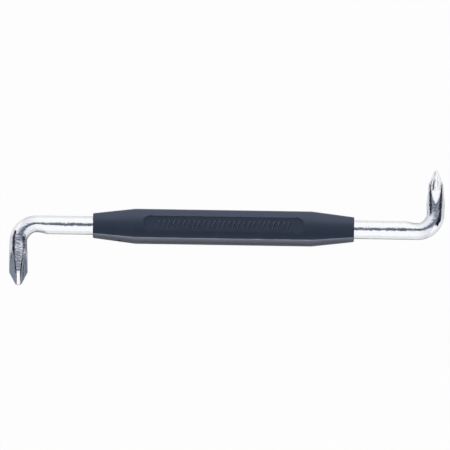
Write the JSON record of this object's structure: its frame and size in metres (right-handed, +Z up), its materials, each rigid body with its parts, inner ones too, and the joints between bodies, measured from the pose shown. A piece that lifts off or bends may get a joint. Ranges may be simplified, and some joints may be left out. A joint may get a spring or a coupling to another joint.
{
  "type": "offset screwdriver",
  "caption": "Offset cross-point screwdriver: round steel bar bent to a Z with a tip on each bent arm, and a tapered square plastic handle moulded round its middle.",
  "frame": {"origin": "under the middle of the bar, on the surface that the handle lies on", "axes": "+X along the bar to the right arm, +Y the way the right arm points, +Z up out of the sunk panel"},
  "size_m": [0.15, 0.0424, 0.0113],
  "materials": {
    "plated_steel": "bright nickel-chrome plate on the bar, satin on the bent arms and tips",
    "handle_plastic": "blue-black moulded plastic, fine satin texture"
  },
  "bodies": {
    "root": {"blade_bar": "plated_steel", "handle": "handle_plastic"}
  },
  "joints": []
}
